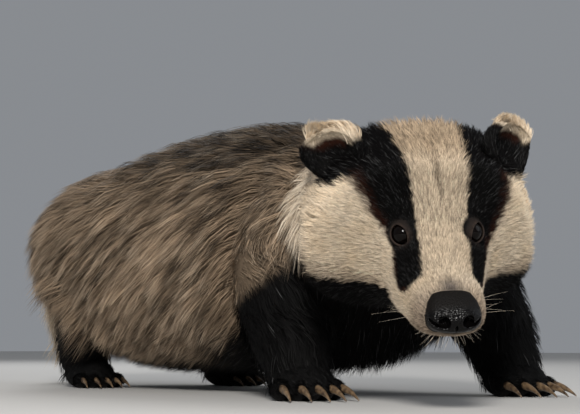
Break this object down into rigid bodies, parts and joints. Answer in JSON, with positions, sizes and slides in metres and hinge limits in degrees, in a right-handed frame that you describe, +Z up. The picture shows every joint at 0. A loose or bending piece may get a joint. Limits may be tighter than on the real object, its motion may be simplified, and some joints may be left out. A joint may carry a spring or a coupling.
{
  "type": "european badger, a still museum model of the live animal",
  "caption": "Life-size European badger standing low on four feet, its head lowered and turned to its right, with striped face and long bristly coat.",
  "frame": {"origin": "middle of the footprint of the whole animal at floor level", "axes": "-Y is the way the torso faces, +Y the rump, +X the animal's left side, +Z up; the head is turned to -X"},
  "size_m": [0.3064, 0.7388, 0.2436],
  "materials": {
    "grey_coat": "long bristly hair, pale at root and tip with a dark band between",
    "black_coat": "short dense black hair",
    "white_coat": "short dense cream-white hair with a black stripe over each eye and ear",
    "horn": "satin horn",
    "nose_leather": "moist pebbled nose leather",
    "eye": "wet gloss, near black"
  },
  "bodies": {
    "root": {"head": "white_coat", "lower_jaw": "white_coat", "nose": "nose_leather", "eye_left": "eye", "eye_right": "eye", "ear_left": "black_coat", "ear_right": "black_coat", "neck": "grey_coat", "torso": "grey_coat", "tail": "grey_coat", "front_left_leg": "black_coat", "front_left_paw": "black_coat", "front_left_claw_1": "horn", "front_left_claw_2": "horn", "front_left_claw_3": "horn", "front_left_claw_4": "horn", "front_left_claw_5": "horn", "front_right_leg": "black_coat", "front_right_paw": "black_coat", "front_right_claw_1": "horn", "front_right_claw_2": "horn", "front_right_claw_3": "horn", "front_right_claw_4": "horn", "front_right_claw_5": "horn", "hind_left_leg": "black_coat", "hind_left_paw": "black_coat", "hind_left_claw_1": "horn", "hind_left_claw_2": "horn", "hind_left_claw_3": "horn", "hind_left_claw_4": "horn", "hind_left_claw_5": "horn", "hind_right_leg": "black_coat", "hind_right_paw": "black_coat", "hind_right_claw_1": "horn", "hind_right_claw_2": "horn", "hind_right_claw_3": "horn", "hind_right_claw_4": "horn", "hind_right_claw_5": "horn"}
  },
  "joints": []
}
